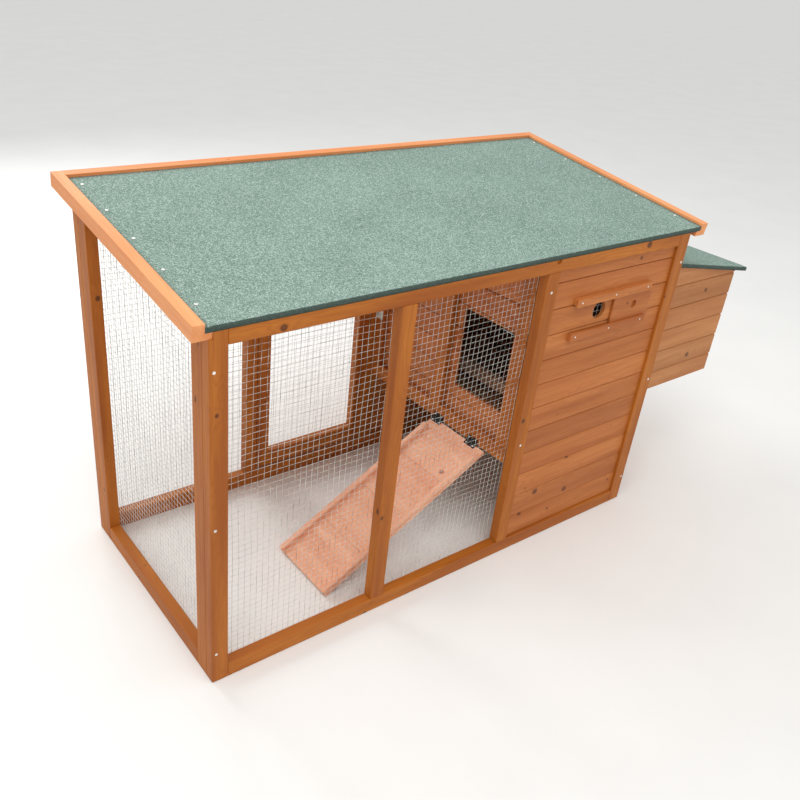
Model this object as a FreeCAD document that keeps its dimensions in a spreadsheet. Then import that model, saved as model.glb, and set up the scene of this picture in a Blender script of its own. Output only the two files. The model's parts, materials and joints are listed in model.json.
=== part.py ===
"""Chicken coop: a lean-to wooden hen house with a mesh run, ramp, nest box and sliding vent.

Corner coordinates are used throughout: x runs along the front from its left end, y runs from the
front to the back and z runs up from the ground.  place() moves them so that the origin of the
finished coop lies on the ground, in the middle of everything that stands over it.
"""
import FreeCAD, Part
import Sketcher
import math
import os
import re

os.makedirs("parts", exist_ok=True)
doc = FreeCAD.newDocument("chicken_coop")
sheet = doc.addObject("Spreadsheet::Sheet", "dims")

# ---------------------------------------------------------------- driving dimensions, mm and degrees
dims = {
    # where the origin lies, from the front left corner of the base
    "OriginX": 966.1, "OriginY": 361.5,
    # base frame
    "FrameLength": 1500, "FrameDepth": 695, "Thick": 30, "Stile": 42, "SideStile": 45, "FrontRail": 40,
    "SideRail": 45, "BackRail": 48, "RailUnder": 878, "RightStile": 45, "Eased": 1.5, "Fit": 0.2,
    "MiddlePost": 465, "Divider": 927, "KnotX": 955, "KnotZ": 909, "KnotHole": 9, "KnotDeep": 5,
    # roof, measured down from the top of the battens at the front edge
    "RoofFront": 2, "RoofTop": 931, "RoofPitch": 7.67, "RoofRun": 733, "RoofLeft": 33, "RoofRight": 69,
    "LipWide": 26, "BattenTall": 35, "LedgeWide": 16, "LedgeTall": 15, "LipStands": 6, "FeltThick": 2,
    "DeckThick": 12, "Clear": 0.3, "RoofSpace": 200, "FeltNail": 4, "FeltNailTall": 1, "FeltNailIn": 22,
    "FeltNailStart": 80, "FeltNailStep": 145,
    # shiplap boards
    "Cover": 73, "BoardThick": 10, "Recess": 9, "SlotTall": 3.2, "SlotDeep": 6.5, "BevelTall": 4,
    "BevelDeep": 2.5, "BoardGap": 0.2, "FrontBoards": 41.2,
    # partition, pop hole, floor and perch
    "PartitionFace": 928, "PartitionThick": 21, "PartitionFoot": 303, "PartitionBoards": 320,
    "PartitionStile": 317, "HoleFront": 85, "HoleWide": 205, "HoleFoot": 430, "HoleTall": 245,
    "FloorTop": 325, "FloorThick": 12, "Bearer": 28, "PerchX": 1115, "PerchWide": 30, "PerchTall": 35,
    "PerchFoot": 372, "PerchBlock": 20, "Loose": 1,
    # ramp
    "RampMiddle": 219, "RampWide": 228, "RampThick": 9, "RampBattenTall": 12, "RampBattenWide": 16,
    "RampAxisZ": 306, "RampPitch": 28.8, "RampStart": 3, "RampLong": 608, "BoardJoint": 0.6,
    "RampLeafRoom": 34, "RampHingeFront": 160, "RampHingeBack": 311,
    # sliding vent
    "VentX": 1171, "VentZ": 735, "VentHole": 50, "RunnerX": 1057, "RunnerLong": 313, "RunnerTall": 22,
    "RunnerOut": 14, "RunnerUpper": 766, "RunnerLower": 690, "RunnerStep": 5, "SliderX": 1222,
    "SliderLong": 163, "SliderThick": 7, "FingerHole": 23, "FingerX": 1312, "FingerZ": 730,
    "VentLap": 9, "NailHead": 2.5, "NailThick": 0.8, "NailIn": 19,
    # nest box
    "NestFront": 60, "NestDeep": 575, "NestOut": 417, "NestFoot": 357, "NestBoards": 346, "NestSill": 45,
    "NestHead": 790, "CornerPost": 20, "NestFloorThick": 12, "NestDividerTall": 150,
    "LidPitch": 10.2, "LidStart": 4, "LidLong": 466, "LidAxisZ": 809.3, "LidSide": 12, "LidThick": 11,
    "LidHingeApart": 380,
    # run door in the back
    "DoorX": 502, "DoorWide": 411, "DoorFoot": 58, "DoorTop": 936, "DoorTopGap": 4, "DoorStile": 43,
    "DoorRail": 48, "DoorPostLeft": 462, "DoorPostRight": 915.5, "DoorPost": 38, "DoorAxisX": 914.3,
    "BackRailTop": 45, "DoorHingeLow": 190, "DoorHingeHigh": 800,
    # barrel bolt on the run door
    "BoltZ": 520, "BoltOut": 8, "BoltRod": 4, "BoltLong": 38, "BoltStart": 502.5, "BoltPlateX": 504,
    "BoltPlateLong": 30, "BoltPlateTall": 26, "BoltPlateThick": 1.5, "BoltLoop": 5, "BoltLoopOut": 15,
    "BoltKnob": 2.5, "BoltKnobX": 526, "BoltKnobOut": 20, "BoltRun": 0.1, "KeeperX": 481, "KeeperLong": 14,
    "KeeperRun": 1,
    # wire mesh sheets
    "MeshThick": 1.8, "MeshLap": 18, "BackLap": 10, "MeshRoofGap": 3,
    # hinges and screws
    "LeafThick": 1.2, "Knuckle": 3, "Pin": 1.5, "PinRun": 0.06, "LeafLong": 42, "LeafWide": 15,
    "ScrewHead": 3.5, "ScrewIn": 11, "ScrewLow": 88, "ScrewMiddle": 449, "ScrewHigh": 826,
    "DividerScrew": 374, "BracketWide": 30, "BracketTall": 40, "BracketIn": 4, "BracketZ": 505,
}
for row, (name, number) in enumerate(dims.items(), 1):
    sheet.set("A%d" % row, name)
    sheet.set("B%d" % row, str(number))
    sheet.setAlias("B%d" % row, name)
doc.recompute()
words = re.compile(r"[A-Z][A-Za-z]+")

# local directions a sub-part can be turned to, as axis and angle
AS_BUILT = (FreeCAD.Vector(0, 0, 1), 0)
FACES_RIGHT = (FreeCAD.Vector(0, 0, 1), 90)
FACES_BACK = (FreeCAD.Vector(0, 0, 1), 180)
FACES_LEFT = (FreeCAD.Vector(0, 0, 1), -90)
ALONG_Y = (FreeCAD.Vector(1, 0, 0), -90)
ALONG_X = (FreeCAD.Vector(0, 1, 0), 90)
exported = []


# ---------------------------------------------------------------- helpers
def bound(text):
    """Turn a sum written with the dimension names into a spreadsheet expression."""
    return words.sub(lambda found: "dims." + found.group(0) if found.group(0) in dims else found.group(0),
                     str(text))


def place(thing, x, y, z, turn=AS_BUILT):
    """Put a sub-part at corner coordinates, turned about one axis."""
    return lay(thing, "(%s) - OriginX" % x, "(%s) - OriginY" % y, z, turn)


def lay(thing, x, y, z, turn=AS_BUILT):
    """Put a piece at plain coordinates of its own."""
    thing.Placement = FreeCAD.Placement(FreeCAD.Vector(), FreeCAD.Rotation(*turn))
    thing.setExpression("Placement.Base.x", bound(x))
    thing.setExpression("Placement.Base.y", bound(y))
    thing.setExpression("Placement.Base.z", bound(z))
    return thing


def pitched(sign, pitch, about=FreeCAD.Vector(1, 0, 0)):
    return about, sign * dims[pitch]


def box(name, size, at, turn=AS_BUILT, put=place):
    piece = doc.addObject("Part::Box", name)
    for side, length in zip(("Length", "Width", "Height"), size):
        piece.setExpression(side, bound(length))
    return put(piece, *at, turn=turn)


def rod(name, radius, long, at, turn=AS_BUILT, put=place):
    piece = doc.addObject("Part::Cylinder", name)
    piece.setExpression("Radius", bound(radius))
    piece.setExpression("Height", bound(long))
    return put(piece, *at, turn=turn)


def join(name, pieces):
    """Keep several separate solids together as one sub-part."""
    whole = doc.addObject("Part::Compound", name)
    whole.Links = pieces
    return whole


def fuse(name, pieces):
    whole = doc.addObject("Part::MultiFuse", name)
    whole.Shapes = pieces
    return whole


def cut(name, base, tools):
    tool = tools[0] if len(tools) == 1 else join(name + "_tools", tools)
    rest = doc.addObject("Part::Cut", name)
    rest.Base = base
    rest.Tool = tool
    return rest


def eased(name, size, at, turn=AS_BUILT):
    """A planed timber with its twelve edges taken off."""
    timber = box(name + "_timber", size, at, turn)
    soft = doc.addObject("Part::Chamfer", name)
    soft.Base = timber
    soft.Edges = [(edge, dims["Eased"], dims["Eased"]) for edge in range(1, 13)]
    return soft


def under_roof(name, timber):
    return cut(name, timber, [roofSpace])


def part(name, thing):
    """Name a finished sub-part for export."""
    thing.Label = name
    exported.append((name, thing))
    return thing


def group(name, pieces):
    """A sub-part made of several equal loose pieces."""
    return part(name, join(name, pieces))


def plane(body, role):
    return [item for item in body.Origin.OriginFeatures if item.Role == role][0]


def profile(body, name, corners, role="YZ_Plane"):
    """A closed outline whose corners are all tied to the spreadsheet."""
    sketch = body.newObject("Sketcher::SketchObject", name)
    sketch.AttachmentSupport = [(plane(body, role), "")]
    sketch.MapMode = "FlatFace"
    count = len(corners)
    ring = [FreeCAD.Vector(math.cos(2 * math.pi * k / count), math.sin(2 * math.pi * k / count), 0)
            for k in range(count)]
    for k in range(count):
        sketch.addGeometry(Part.LineSegment(ring[k], ring[(k + 1) % count]), False)
    for k in range(count):
        sketch.addConstraint(Sketcher.Constraint("Coincident", k, 2, (k + 1) % count, 1))
    for k, (across, up) in enumerate(corners):
        for kind, amount in (("DistanceX", across), ("DistanceY", up)):
            here = sketch.addConstraint(Sketcher.Constraint(kind, -1, 1, k, 1, float(k + 1)))
            sketch.setExpression("Constraints[%d]" % here, bound(amount))
    return sketch


def padded(name, corners, long, at, turn=AS_BUILT, role="YZ_Plane"):
    body = doc.addObject("PartDesign::Body", name)
    pad = body.newObject("PartDesign::Pad", name + "_pad")
    pad.Profile = profile(body, name + "_outline", corners, role)
    pad.setExpression("Length", bound(long))
    body.Tip = pad
    place(body, *at, turn=turn)
    return body


def shiplap(name, long, count, at, turn=AS_BUILT):
    """A stack of horizontal boards, each bevelled and rebated along the top of its outer face."""
    slot = "Cover - SlotTall"
    board = [("0", "0"), ("BoardThick", "0"), ("BoardThick", "Cover - BoardGap"),
             ("SlotDeep", "Cover - BoardGap"), ("SlotDeep", slot), ("BevelDeep", slot),
             ("0", slot + " - BevelTall")]
    body = padded(name, board, long, at, turn)
    body.AllowCompound = True
    rows = body.newObject("PartDesign::LinearPattern", name + "_rows")
    rows.Originals = [body.Tip]
    rows.Direction = (plane(body, "Z_Axis"), [""])
    rows.setExpression("Length", bound("Cover * %d" % (count - 1)))
    rows.Occurrences = count
    body.Tip = rows
    return body


# ---------------------------------------------------------------- the space the roof takes up
roofCos = "cos(RoofPitch * 1deg)"
roofSin = "sin(RoofPitch * 1deg)"
roofTilt = pitched(1, "RoofPitch")


def on_roof(x, along, above):
    """Corner coordinates of a point given along the roof slope and above its front top edge."""
    return (x, "-RoofFront + (%s) * %s - (%s) * %s" % (along, roofCos, above, roofSin),
            "RoofTop + (%s) * %s + (%s) * %s" % (along, roofSin, above, roofCos))


deckUnder = "(LipStands + FeltThick + DeckThick)"
roofSpace = join("roof_space", [
    box("space_over_deck", ("FrameLength + RoofSpace", "RoofRun + RoofSpace", "RoofSpace"),
        on_roof("-RoofSpace / 2", "-RoofSpace / 2", "-%s - Clear" % deckUnder), roofTilt),
    box("space_left_ledge", ("RoofSpace - RoofLeft + LipWide + LedgeWide + Clear", "RoofRun + RoofSpace",
                             "RoofSpace"), on_roof("-RoofSpace", "-RoofSpace / 2", "-BattenTall - Clear"),
        roofTilt),
    box("space_back_ledge", ("FrameLength + RoofSpace", "RoofSpace", "RoofSpace"),
        on_roof("-RoofSpace / 2", "RoofRun - LipWide - LedgeWide - Clear", "-BattenTall - Clear"), roofTilt),
])

# ---------------------------------------------------------------- front frame
tall = "RoofTop + RoofSpace / 2"


def upright(name, x, wide, y="0", foot="0", thick="Thick"):
    """A post standing up to the underside of the roof."""
    timber = eased(name + "_full", (wide, thick, "%s - (%s)" % (tall, foot)), (x, y, foot))
    return under_roof(name, timber)


group("front_stiles", [upright("front_stile_left", "0", "Stile"),
                       upright("front_stile_right", "FrameLength - RightStile", "RightStile")])
innerLong = "FrameLength - Stile - RightStile - 2 * Fit"
part("front_rail_bottom", eased("front_rail_bottom_solid", (innerLong, "Thick", "FrontRail"),
                                ("Stile + Fit", "0", "0")))
topRail = eased("front_rail_top_full", (innerLong, "Thick", "2 * FrontRail"),
                ("Stile + Fit", "0", "RailUnder"))
knot = rod("rail_knot_hole", "KnotHole", "2 * KnotDeep", ("KnotX", "KnotDeep", "KnotZ"),
           (FreeCAD.Vector(1, 0, 0), 90))
part("front_rail_top", cut("front_rail_top", topRail, [roofSpace, knot]))
between = "RailUnder - FrontRail - 2 * Fit"
group("front_posts", [eased("front_post_" + side, ("Stile", "Thick", between), (x, "0", "FrontRail + Fit"))
                      for side, x in (("middle", "MiddlePost"), ("divider", "Divider"))])

# ---------------------------------------------------------------- left side frame
sideInner = "FrameDepth - 2 * Thick - 2 * SideStile - 4 * Fit"


def side_stiles(side, x):
    rear = "FrameDepth - Thick - SideStile - Fit"
    group(side + "_stiles", [upright("%s_stile_%s" % (side, end), x, "Thick", y, "0", "SideStile")
                             for end, y in (("front", "Thick + Fit"), ("rear", rear))])


def sloping_rail(name, x, thick, front, back, deep, cutters):
    """A rail under the roof, running up its slope between two distances from the front."""
    timber = box(name + "_full", (thick, "(%s - (%s)) / %s + RoofSpace" % (back, front, roofCos), deep),
                 on_roof(x, "(%s + RoofFront) / %s - RoofSpace / 2" % (front, roofCos),
                         "-%s - Clear - (%s)" % (deckUnder, deep)), roofTilt)
    ends = [box(name + "_front_end", ("RoofSpace", "2 * RoofSpace", "FrameLength"),
                ("(%s) - RoofSpace / 2" % x, "%s - 2 * RoofSpace" % front, "0")),
            box(name + "_back_end", ("RoofSpace", "2 * RoofSpace", "FrameLength"),
                ("(%s) - RoofSpace / 2" % x, back, "0"))]
    return part(name, cut(name, timber, ends + cutters))


side_stiles("left", "0")
side_stiles("right", "FrameLength - Thick")
group("side_rails_bottom", [
    eased("side_rail_bottom_" + side, ("Thick", sideInner, "SideRail"),
          (x, "Thick + SideStile + 2 * Fit", "0"))
    for side, x in (("left", "0"), ("right", "FrameLength - Thick"))])
sloping_rail("left_rail_top", "0", "Thick", "Thick + SideStile + 2 * Fit",
             "FrameDepth - Thick - SideStile - 2 * Fit", "SideStile - LedgeTall", [roofSpace])

# ---------------------------------------------------------------- back frame
backY = "FrameDepth - Thick"
group("back_stiles", [upright("back_stile_" + side, x, "Stile", backY)
                      for side, x in (("left", "0"), ("right", "FrameLength - Stile"))])
backInner = "FrameLength - 2 * Stile - 2 * Fit"
part("back_rail_bottom", eased("back_rail_bottom_solid", (backInner, "Thick", "BackRail"),
                               ("Stile + Fit", backY, "0")))
backUnder = "(DoorTop + DoorTopGap)"
part("back_rail_top", under_roof("back_rail_top", eased(
    "back_rail_top_full", (backInner, "Thick", "3 * BackRailTop"), ("Stile + Fit", backY, backUnder))))
backBetween = "%s - BackRail - 2 * Fit" % backUnder
group("back_posts", [
    eased("back_post_" + side, ("DoorPost", "Thick", backBetween), (x, backY, "BackRail + Fit"))
    for side, x in (("left", "DoorPostLeft"), ("right", "DoorPostRight"))])

# ---------------------------------------------------------------- house front, back and right walls
houseLeft = "Divider + Stile + Fit"
part("house_front_boards", cut("house_front_boards", shiplap(
    "front_shiplap", "FrameLength - RightStile - Divider - Stile - 2 * Fit", 12,
    (houseLeft, "Recess", "FrontBoards")), [
    box("front_board_trim", ("FrameLength", "FrameDepth / 2", "RoofSpace"), ("0", "0", "RailUnder - Fit")),
    rod("vent_hole", "VentHole / 2", "4 * BoardThick", ("VentX", "Recess + 2 * BoardThick", "VentZ"),
        (FreeCAD.Vector(1, 0, 0), 90))]))
part("house_back_boards", cut("house_back_boards", shiplap(
    "back_shiplap", "FrameLength - Stile - DoorPostRight - DoorPost - 2 * Fit", 13,
    ("FrameLength - Stile - Fit", "FrameDepth - Recess", "BackRail + Fit"), FACES_BACK), [
    box("back_board_trim", ("FrameLength", "FrameDepth", "RoofSpace"),
        ("0", "0", "%s - Fit" % backUnder))]))

sloping_rail("right_rail_top", "FrameLength - Thick", "Thick", "Thick + SideStile + 2 * Fit",
             "FrameDepth - Thick - SideStile - 2 * Fit", "SideStile", [])
sideLeft = "Thick + SideStile + 2 * Fit"
group("nest_opening_rails", [
    eased("nest_rail_" + end, ("Thick", sideInner, "NestSill"), ("FrameLength - Thick", sideLeft, z))
    for end, z in (("sill", "NestFoot - NestSill"), ("head", "NestHead"))])
rightBoards = shiplap("right_shiplap", sideInner, 13, ("FrameLength - Recess", sideLeft, "SideRail + Fit"),
                      FACES_RIGHT)
part("house_right_boards", cut("house_right_boards", rightBoards, [
    box("right_opening", ("4 * Thick", "FrameDepth", "NestHead + NestSill - NestFoot + NestSill + 2 * Fit"),
        ("FrameLength - 2 * Thick", "0", "NestFoot - NestSill - Fit")),
    box("right_board_trim", ("4 * Thick", "2 * FrameDepth", "2 * RoofSpace"),
        on_roof("FrameLength - 2 * Thick", "-RoofSpace", "-%s - 2 * Clear - SideStile" % deckUnder),
        roofTilt)]))

# ---------------------------------------------------------------- partition with the pop hole
partStart = "Thick + MeshThick + 2 * Fit"
partEnd = "FrameDepth - Thick - 2 * Fit"
partitionStiles = (("front", partStart), ("middle", "PartitionStile"), ("rear", "%s - SideStile" % partEnd))
group("partition_stiles", [
    upright("partition_stile_" + side, "PartitionFace", "PartitionThick", y,
            "PartitionFoot + SideRail + Fit", "SideStile") for side, y in partitionStiles])
part("partition_rail_bottom", eased(
    "partition_rail_bottom_solid", ("PartitionThick", "%s - (%s)" % (partEnd, partStart), "SideRail"),
    ("PartitionFace", partStart, "PartitionFoot")))
partitionBoards = shiplap("partition_shiplap", "%s - (%s)" % (partEnd, partStart), 10,
                          ("PartitionFace + PartitionThick + Fit", partEnd, "PartitionBoards"), FACES_LEFT)
popHole = box("pop_hole", ("4 * Thick", "HoleWide", "HoleTall"),
              ("PartitionFace - Thick", "HoleFront", "HoleFoot"))
part("partition_boards", cut("partition_boards", partitionBoards, [popHole, roofSpace]))

# ---------------------------------------------------------------- house floor and perch
floorX = "PartitionFace + PartitionThick + BoardThick + 2 * Fit"
floorWide = "FrameLength - Thick - (%s) - Fit" % floorX
part("house_floor", eased("house_floor_solid", (
    floorWide, "FrameDepth - 2 * Thick - 2 * Loose", "FloorThick"),
    (floorX, "Thick + Loose", "FloorTop - FloorThick")))
group("floor_bearers", [
    eased("bearer_" + end, (floorWide, "Bearer", "Bearer"),
          (floorX, y, "FloorTop - FloorThick - Bearer - Fit"))
    for end, y in (("front", "Thick + Loose"), ("back", "FrameDepth - Thick - Loose - Bearer"))])
wallIn = "Recess + BoardThick"
part("perch", eased("perch_bar", ("PerchWide", "FrameDepth - 2 * (%s) - 2 * Loose" % wallIn, "PerchTall"),
                    ("PerchX", "%s + Loose" % wallIn, "PerchFoot")))
group("perch_blocks", [
    eased("block_" + end, ("2 * PerchWide", "PerchBlock", "PerchFoot - FloorTop - 2 * Fit"),
          ("PerchX - PerchWide / 2", y, "FloorTop + Fit"))
    for end, y in (("front", "Thick + 2 * Loose"), ("back", "FrameDepth - Thick - 2 * Loose - PerchBlock"))])

# ---------------------------------------------------------------- roof
roofWide = "(FrameLength + RoofLeft + RoofRight)"
batten = [("0", "-BattenTall"), ("LipWide + LedgeWide", "-BattenTall"),
          ("LipWide + LedgeWide", "-BattenTall + LedgeTall"), ("LipWide", "-BattenTall + LedgeTall"),
          ("LipWide", "0"), ("0", "0")]


def roof_turned(yaw):
    """Axis and angle of a turn about the vertical followed by the tilt of the roof."""
    whole = FreeCAD.Rotation(*roofTilt).multiply(FreeCAD.Rotation(FreeCAD.Vector(0, 0, 1), yaw))
    return whole.Axis, math.degrees(whole.Angle)


# the outline is drawn across the batten, so its run is turned to point up the slope
mirrored = [("-(%s)" % across, up) for across, up in batten]
group("roof_side_battens", [
    padded("roof_batten_left", mirrored, "RoofRun", on_roof("-RoofLeft", "0", "0"), roof_turned(90)),
    padded("roof_batten_right", batten, "RoofRun", on_roof("FrameLength + RoofRight", "0", "0"),
           roof_turned(90))])
backBatten = padded("roof_batten_back_full", mirrored, "%s - 2 * LipWide - 2 * Fit" % roofWide,
                    on_roof("-RoofLeft + LipWide + Fit", "RoofRun", "0"), roof_turned(0))
ledges = [box("ledge_space_" + side, ("LedgeWide + Fit", "RoofRun", "LedgeTall + Fit"),
              on_roof(x, "0", "-BattenTall"), roofTilt)
          for side, x in (("left", "-RoofLeft + LipWide"),
                          ("right", "FrameLength + RoofRight - LipWide - LedgeWide - Fit"))]
part("roof_batten_back", cut("roof_batten_back", backBatten, ledges))

deckWide = "%s - 2 * LipWide - 2 * Fit" % roofWide
deckX = "-RoofLeft + LipWide + Fit"
part("roof_deck", box("roof_deck", (deckWide, "RoofRun - LipWide - FeltThick - 2 * Fit", "DeckThick - Fit"),
                      on_roof(deckX, "FeltThick + Fit", "-%s + Fit" % deckUnder), roofTilt))
feltTop = box("felt_top", (deckWide, "RoofRun - LipWide - Fit", "FeltThick"),
              on_roof(deckX, "0", "-LipStands - FeltThick"), roofTilt)
feltFold = box("felt_fold", (deckWide, "FeltThick", "FeltThick + DeckThick"),
               on_roof(deckX, "0", "-%s" % deckUnder), roofTilt)
part("roof_felt", fuse("roof_felt", [feltTop, feltFold]))
nailRows = 5
group("felt_nails", [
    rod("felt_nail_%s_%d" % (side, k), "FeltNail", "FeltNailTall",
        on_roof(x, "FeltNailStart + %d * FeltNailStep" % k, "-LipStands"), roofTilt)
    for side, x in (("left", "-RoofLeft + LipWide + FeltNailIn"),
                    ("right", "FrameLength + RoofRight - LipWide - FeltNailIn"))
    for k in range(nailRows)])

# ---------------------------------------------------------------- butt hinges
def facing(along, up):
    """Axis and angle that turn local x to one direction and local y to another."""
    turned = FreeCAD.Rotation(along, up, along.cross(up), "XYZ")
    return turned.Axis, math.degrees(turned.Angle)


def leaf(name, at, turn, thirds, pinned):
    """A hinge leaf about local z: the plate runs along local x and lies below the knuckles."""
    low = "-LeafLong / 2"
    plateX = "Knuckle + Clear"
    pieces = [box(name + "_plate", ("LeafWide - Knuckle - Clear", "LeafThick", "LeafLong"),
                  (plateX, "-Knuckle", low), put=lay)]
    for third in thirds:
        foot = "%s + %d * LeafLong / 3 + Clear / 2" % (low, third)
        long = "LeafLong / 3 - Clear"
        pieces.append(box("%s_tongue_%d" % (name, third), (plateX + " + Fit", "LeafThick", long),
                          ("0", "-Knuckle", foot), put=lay))
        pieces.append(rod("%s_knuckle_%d" % (name, third), "Knuckle", long, ("0", "0", foot), put=lay))
    pin = rod(name + "_pin", "Pin" if pinned else "Pin + PinRun", "LeafLong - Clear",
              ("0", "0", low + " + Clear / 2"), put=lay)
    if pinned:
        whole = fuse(name, pieces + [pin])
    else:
        whole = cut(name, fuse(name + "_solid", pieces), [pin])
    return place(whole, *at, turn=turn)


def hinges(name, places, fixedTurn, movingTurn):
    """Butt hinges in a row: the fixed leaves hold the pins, the moving leaves turn on them."""
    group(name + "_hinges_fixed",
          [leaf("%s_fixed_%d" % (name, k), at, fixedTurn, (0, 2), True) for k, at in enumerate(places)])
    group(name + "_hinges_moving",
          [leaf("%s_moving_%d" % (name, k), at, movingTurn, (1,), False) for k, at in enumerate(places)])


X, Y, Z = FreeCAD.Vector(1, 0, 0), FreeCAD.Vector(0, 1, 0), FreeCAD.Vector(0, 0, 1)


def sloping(pitch):
    """Directions down a slope towards +x and square to it."""
    lean = math.radians(dims[pitch])
    down, off = math.sin(lean), math.cos(lean)
    return FreeCAD.Vector(off, 0, -down), FreeCAD.Vector(down, 0, off)


# ---------------------------------------------------------------- ramp
rampAxisX = "(PartitionFace - Fit - Knuckle)"
rampTilt = pitched(-1, "RampPitch", Y)
rampCos = "cos(RampPitch * 1deg)"
rampSin = "sin(RampPitch * 1deg)"


def on_ramp(down, y, above):
    """Corner coordinates of a point given down the ramp from its hinge and above the hinge."""
    return ("%s - (%s) * %s - (%s) * %s" % (rampAxisX, down, rampCos, above, rampSin), y,
            "RampAxisZ - (%s) * %s + (%s) * %s" % (down, rampSin, above, rampCos))


rampTop = "(-Knuckle - Fit)"
rampBoards = 4
rampSide = "RampMiddle - RampWide / 2"
boardLong = "RampLong / %d" % rampBoards
group("ramp_boards", [
    box("ramp_board_%d" % k, (boardLong + " - BoardJoint", "RampWide", "RampThick"),
        on_ramp("RampStart + %d * %s" % (k + 1, boardLong), rampSide, "%s - RampThick" % rampTop), rampTilt)
    for k in range(rampBoards)])
rampSides = (("front", rampSide), ("back", "RampMiddle + RampWide / 2 - RampBattenWide"))
group("ramp_battens", [
    eased("ramp_batten_" + side, ("RampLong - RampLeafRoom", "RampBattenWide", "RampBattenTall - Fit"),
          on_ramp("RampStart + RampLong", y, rampTop + " + Fit"), rampTilt) for side, y in rampSides])
rampDown = FreeCAD.Vector(-math.cos(math.radians(dims["RampPitch"])), 0,
                          -math.sin(math.radians(dims["RampPitch"])))
hinges("ramp", [(rampAxisX, y, "RampAxisZ") for y in ("RampHingeFront", "RampHingeBack")],
       facing(Z, -X), facing(rampDown, FreeCAD.Vector(rampDown.z, 0, -rampDown.x)))

# ---------------------------------------------------------------- vent
ventFace = "(Recess - Fit)"
vent = "(Recess + BoardThick + Fit)"
part("vent_mesh", rod("vent_mesh", "VentHole / 2 + VentLap", "MeshThick",
                      ("VentX", vent + " + MeshThick", "VentZ"), (X, 90)))
runner = [("0", "0"), ("RunnerOut", "0"), ("RunnerOut", "RunnerTall - RunnerStep"),
          ("RunnerOut - SliderThick - 2 * Clear", "RunnerTall - RunnerStep"),
          ("RunnerOut - SliderThick - 2 * Clear", "RunnerTall"), ("0", "RunnerTall")]
runnerFace = "%s - RunnerOut" % ventFace
group("vent_runners", [
    padded("vent_runner_lower", runner, "RunnerLong", ("RunnerX", runnerFace, "RunnerLower - RunnerTall")),
    padded("vent_runner_upper", [(out, "-(%s)" % up) for out, up in runner], "RunnerLong",
           ("RunnerX", runnerFace, "RunnerUpper + RunnerTall"))])
grip = "RunnerStep - Clear"
part("vent_slider", cut("vent_slider", eased(
    "vent_slider_board", ("SliderLong", "SliderThick", "RunnerUpper - RunnerLower + 2 * (%s)" % grip),
    ("SliderX", "%s - Clear - SliderThick" % ventFace, "RunnerLower - (%s)" % grip)), [
    rod("finger_hole", "FingerHole / 2", "4 * BoardThick", ("FingerX", "2 * BoardThick", "FingerZ"),
        (X, 90))]))
group("vent_nails", [
    rod("vent_nail_%s_%d" % (end, k), "NailHead", "NailThick",
        ("RunnerX + NailIn + %d * (RunnerLong / 2 - NailIn)" % k, "%s - Fit / 4" % runnerFace, z), (X, 90))
    for end, z in (("upper", "RunnerUpper + RunnerTall / 2"), ("lower", "RunnerLower - RunnerTall / 2"))
    for k in range(3)])

# ---------------------------------------------------------------- nest box
lidAxisX = "(FrameLength + Fit + Knuckle)"
lidTilt = pitched(1, "LidPitch", Y)
lidCos = "cos(LidPitch * 1deg)"
lidSin = "sin(LidPitch * 1deg)"


def on_lid(out, y, above):
    """Corner coordinates of a point given down the lid from its hinge and above the hinge."""
    return ("%s + (%s) * %s + (%s) * %s" % (lidAxisX, out, lidCos, above, lidSin), y,
            "LidAxisZ - (%s) * %s + (%s) * %s" % (out, lidSin, above, lidCos))


lidTop = "(-Knuckle - Fit)"
lidUnder = "(%s - FeltThick - LidThick)" % lidTop
lidFront = "(NestFront - LidSide)"
lidWide = "(NestDeep + 2 * LidSide)"
lidSpace = box("lid_space", ("FrameLength", "2 * FrameDepth", "FrameLength"),
               on_lid("-FrameLength / 4", "-FrameDepth / 2", "%s - 2 * Clear" % lidUnder), lidTilt)
underNest = box("under_nest", ("FrameLength", "2 * FrameDepth", "NestFoot"),
                ("FrameLength - Thick", "-FrameDepth / 2", "0"))
nestX = "FrameLength + Fit"
nestRows = 7
frontRows = shiplap("nest_front_shiplap", "NestOut - Fit", nestRows, (nestX, "NestFront", "NestBoards"))
backRows = shiplap("nest_back_shiplap", "NestOut - Fit", nestRows,
                   ("FrameLength + NestOut", "NestFront + NestDeep", "NestBoards"), FACES_BACK)
endRows = shiplap("nest_end_shiplap", "NestDeep - 2 * BoardThick - 2 * Fit", nestRows,
                  ("FrameLength + NestOut", "NestFront + BoardThick + Fit", "NestBoards"), FACES_RIGHT)
nestTools = join("nest_tools", [lidSpace, underNest])
part("nest_side_boards", cut("nest_side_boards", join("nest_sides_full", [frontRows, backRows]), [nestTools]))
part("nest_end_boards", cut("nest_end_boards", endRows, [nestTools]))
inFront = "NestFront + BoardThick + Fit"
inBack = "NestFront + NestDeep - BoardThick - Fit"
inEnd = "FrameLength + NestOut - BoardThick - Fit"
part("nest_floor", box("nest_floor", ("NestOut - BoardThick - 2 * Fit", "%s - (%s)" % (inBack, inFront),
                                      "NestFloorThick"), (nestX, inFront, "NestFoot")))
postFoot = "NestFoot + NestFloorThick + Fit"
posts = [box("nest_post_" + side, ("CornerPost", "CornerPost", "FrameLength / 2"),
             ("%s - CornerPost" % inEnd, y, postFoot))
         for side, y in (("front", inFront), ("back", "%s - CornerPost" % inBack))]
part("nest_corner_posts", cut("nest_corner_posts", join("nest_posts_full", posts), [lidSpace]))
part("nest_divider", eased("nest_divider_solid", (
    "NestOut - BoardThick - 3 * Fit", "LidThick", "NestDividerTall"),
    (nestX, "NestFront + NestDeep / 2 - LidThick / 2", postFoot)))
part("nest_lid_board", box("nest_lid_board", (
    "LidLong - FeltThick - Fit", "%s - 2 * FeltThick - 2 * Fit" % lidWide, "LidThick - Fit"),
    on_lid("LidStart", lidFront + " + FeltThick + Fit", lidUnder), lidTilt))
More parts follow.
